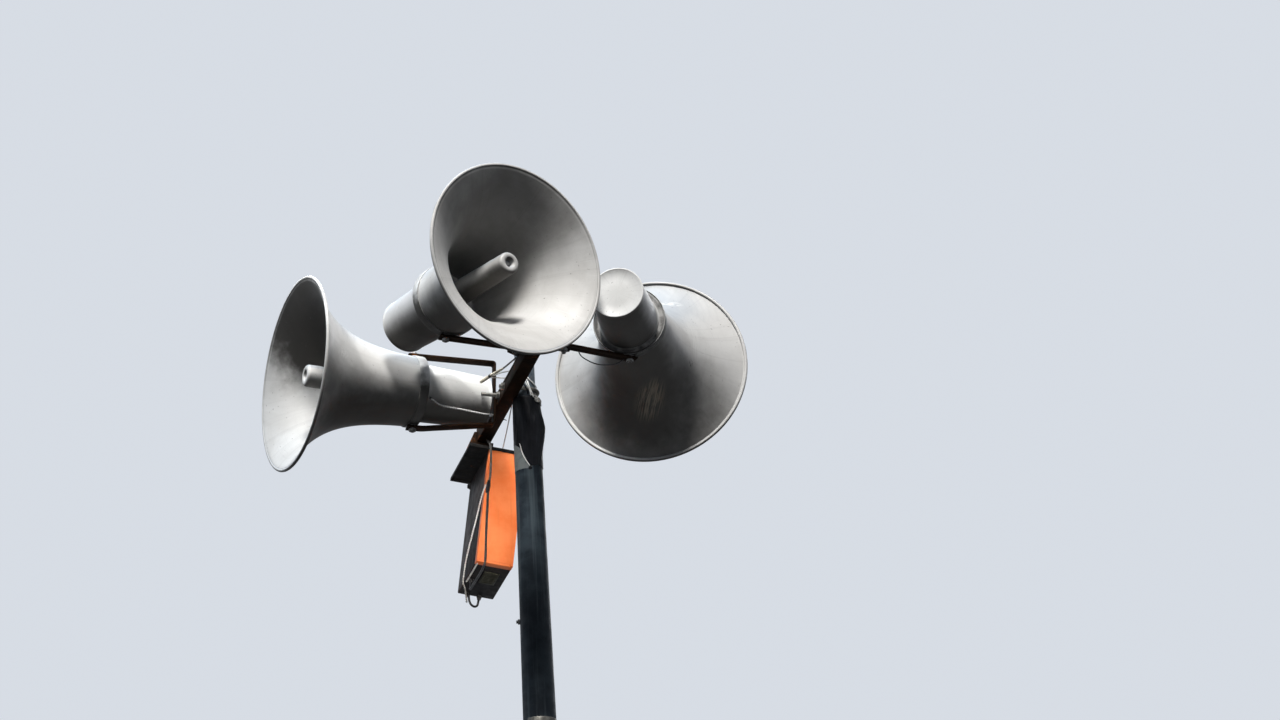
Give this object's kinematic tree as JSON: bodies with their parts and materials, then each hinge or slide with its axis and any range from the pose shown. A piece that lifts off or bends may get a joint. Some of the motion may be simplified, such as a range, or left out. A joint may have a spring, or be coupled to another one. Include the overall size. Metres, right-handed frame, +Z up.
{
  "type": "public-warning horn mast",
  "caption": "Slim tapered steel mast carrying re-entrant horn loudspeakers in pan yokes on a short crossbar, with a small hooded control box below.",
  "frame": {"origin": "centre of the underside of the base plate, on the mast's axis", "axes": "+Z up along the mast, -Y along the crossbar towards the end with two horns, +Y towards the control box"},
  "size_m": [1.2091, 1.1314, 7.6196],
  "materials": {
    "mast_paint": "satin, weathered",
    "galvanised": "dull",
    "dark_steel": "matt",
    "black_film": "semi-gloss",
    "brown_paint": "matt, rusty",
    "zinc": "dull",
    "spun_aluminium": "satin",
    "cast_aluminium": "satin",
    "dark_sheet": "matt",
    "grey_box": "matt",
    "orange_cover": "matt",
    "cable_black": "matt",
    "cable_pale": "matt",
    "cable_grey": "matt"
  },
  "bodies": {
    "mast": {"base_plate": "mast_paint", "base_ribs": "mast_paint", "mast_shaft": "mast_paint", "closing_ring": "mast_paint", "top_pipe": "galvanised", "pipe_cap": "dark_steel", "mast_wrap": "black_film", "crossbar": "brown_paint", "yoke_plate": "brown_paint", "u_bolt": "zinc", "u_bolt_nuts": "zinc", "yoke_bolts": "dark_steel", "left_yoke": "brown_paint", "centre_yoke_bar": "brown_paint", "right_yoke_bar": "brown_paint", "box_hood": "dark_sheet", "box_hanger": "brown_paint", "box_body": "grey_box", "box_cover": "orange_cover", "box_vent": "grey_box", "box_glands": "cable_black", "shaft_clip": "zinc", "shaft_stud": "dark_steel", "lead_left": "cable_pale", "lead_pipe": "cable_pale", "lead_right": "cable_black", "lead_stub": "cable_grey", "box_lead_grey": "cable_grey", "box_lead_black": "cable_black", "box_lead_pale": "cable_pale", "box_lead_under": "cable_pale", "box_lead_loop": "cable_black"},
    "left_horn": {"left_bell": "spun_aluminium", "left_tube": "spun_aluminium", "left_housing": "cast_aluminium", "left_strap": "dark_steel", "left_pivots": "dark_steel", "left_gland": "cable_black"},
    "centre_horn": {"centre_bell": "spun_aluminium", "centre_tube": "spun_aluminium", "centre_housing": "cast_aluminium", "centre_strap": "dark_steel", "centre_pivots": "dark_steel"},
    "right_horn": {"right_bell": "spun_aluminium", "right_tube": "spun_aluminium", "right_housing": "cast_aluminium", "right_strap": "dark_steel", "right_pivots": "dark_steel"}
  },
  "joints": [
    {"name": "left_horn_pan", "type": "hinge", "parent": "mast", "child": "left_horn", "pos_m": [-0.27335, 0.084, 7.26282], "axis": [0.0471, 0, 0.9989], "range_deg": [0, 12], "deforming": ["lead_left"]},
    {"name": "centre_horn_pan", "type": "hinge", "parent": "mast", "child": "centre_horn", "pos_m": [-0.25107, -0.242, 7.3745], "axis": [0.0471, 0, 0.9989], "range_deg": [-15, 5]},
    {"name": "right_horn_pan", "type": "hinge", "parent": "mast", "child": "right_horn", "pos_m": [0.2254, -0.219, 7.35203], "axis": [0.0471, 0, 0.9989], "range_deg": [-15, 15]}
  ]
}
